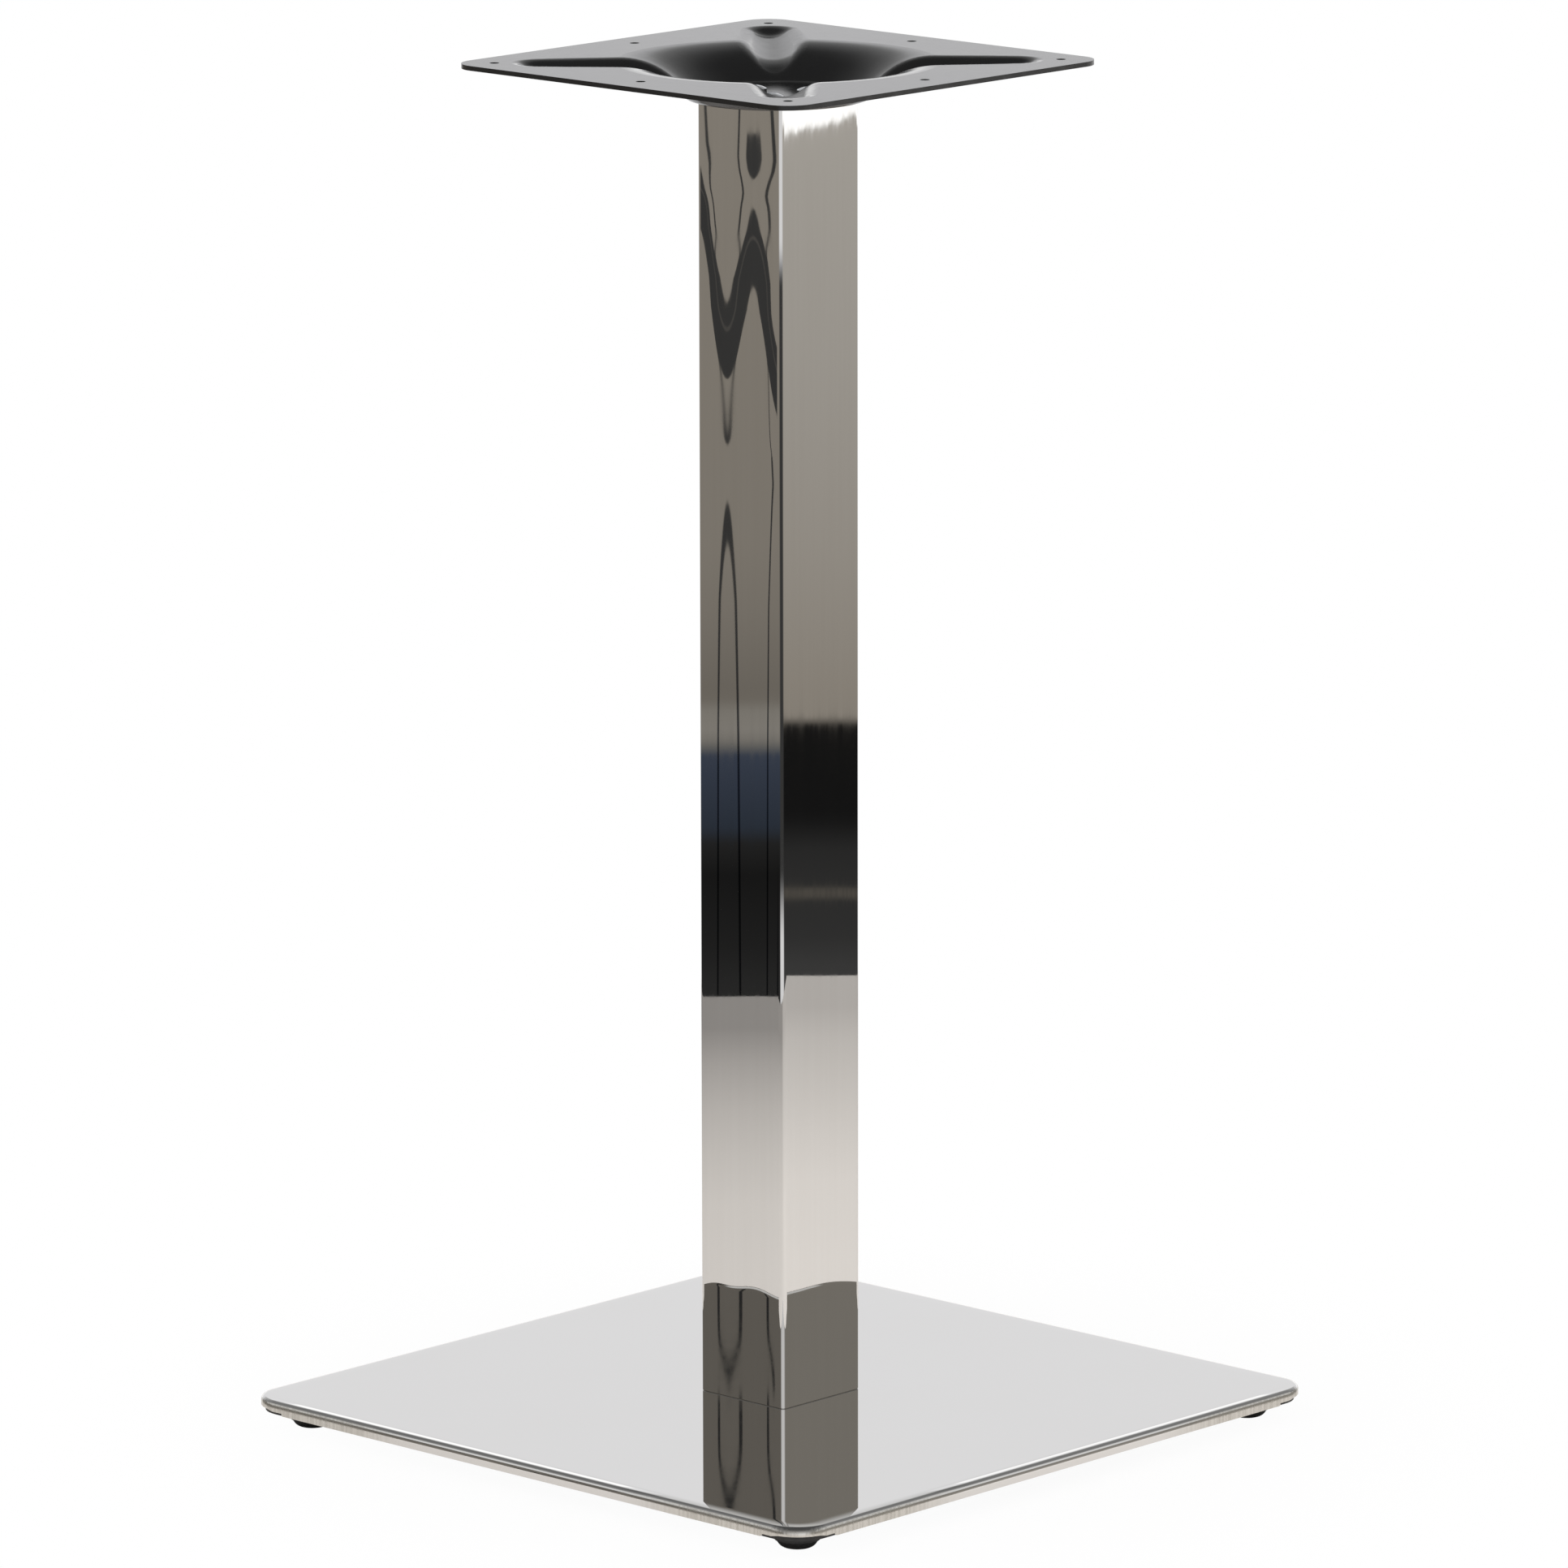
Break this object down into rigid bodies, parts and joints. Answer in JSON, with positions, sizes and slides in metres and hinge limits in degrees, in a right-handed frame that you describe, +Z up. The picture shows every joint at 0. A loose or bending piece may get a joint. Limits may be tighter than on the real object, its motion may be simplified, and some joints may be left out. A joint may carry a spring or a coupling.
{
  "type": "square table base",
  "caption": "Square pedestal table base: polished flat foot plate on levelling feet, square column, and a black pressed top plate with a dish and channels for fixing a table top.",
  "frame": {"origin": "centre of the base on the floor, under the four feet", "axes": "+Z up along the column, +X and +Y square to the sides of the base and of the column"},
  "size_m": [0.4, 0.4, 0.725],
  "materials": {
    "polished_steel": "mirror-polished stainless steel",
    "black_powder_coat": "satin black powder coat",
    "black_paint": "matt black paint on steel plate",
    "zinc_steel": "bright zinc plating",
    "plain_steel": "bare mild steel",
    "black_plastic": "black moulded plastic"
  },
  "bodies": {
    "stand": {"base_cover": "polished_steel", "column_tube": "polished_steel", "ballast_plate": "black_paint", "base_screws": "zinc_steel", "spider_screws": "zinc_steel", "column_bottom_plate": "plain_steel", "column_top_plate": "plain_steel", "top_spider": "black_powder_coat"},
    "foot_front_left": {"foot_pad_front_left": "black_plastic", "foot_stud_front_left": "zinc_steel"},
    "foot_front_right": {"foot_pad_front_right": "black_plastic", "foot_stud_front_right": "zinc_steel"},
    "foot_back_left": {"foot_pad_back_left": "black_plastic", "foot_stud_back_left": "zinc_steel"},
    "foot_back_right": {"foot_pad_back_right": "black_plastic", "foot_stud_back_right": "zinc_steel"}
  },
  "joints": [
    {"name": "foot_front_left_wind", "type": "slide", "parent": "stand", "child": "foot_front_left", "axis": [0, 0, -1], "range_m": [0, 0.003]},
    {"name": "foot_front_right_wind", "type": "slide", "parent": "stand", "child": "foot_front_right", "axis": [0, 0, -1], "range_m": [0, 0.003]},
    {"name": "foot_back_left_wind", "type": "slide", "parent": "stand", "child": "foot_back_left", "axis": [0, 0, -1], "range_m": [0, 0.003]},
    {"name": "foot_back_right_wind", "type": "slide", "parent": "stand", "child": "foot_back_right", "axis": [0, 0, -1], "range_m": [0, 0.003]}
  ]
}
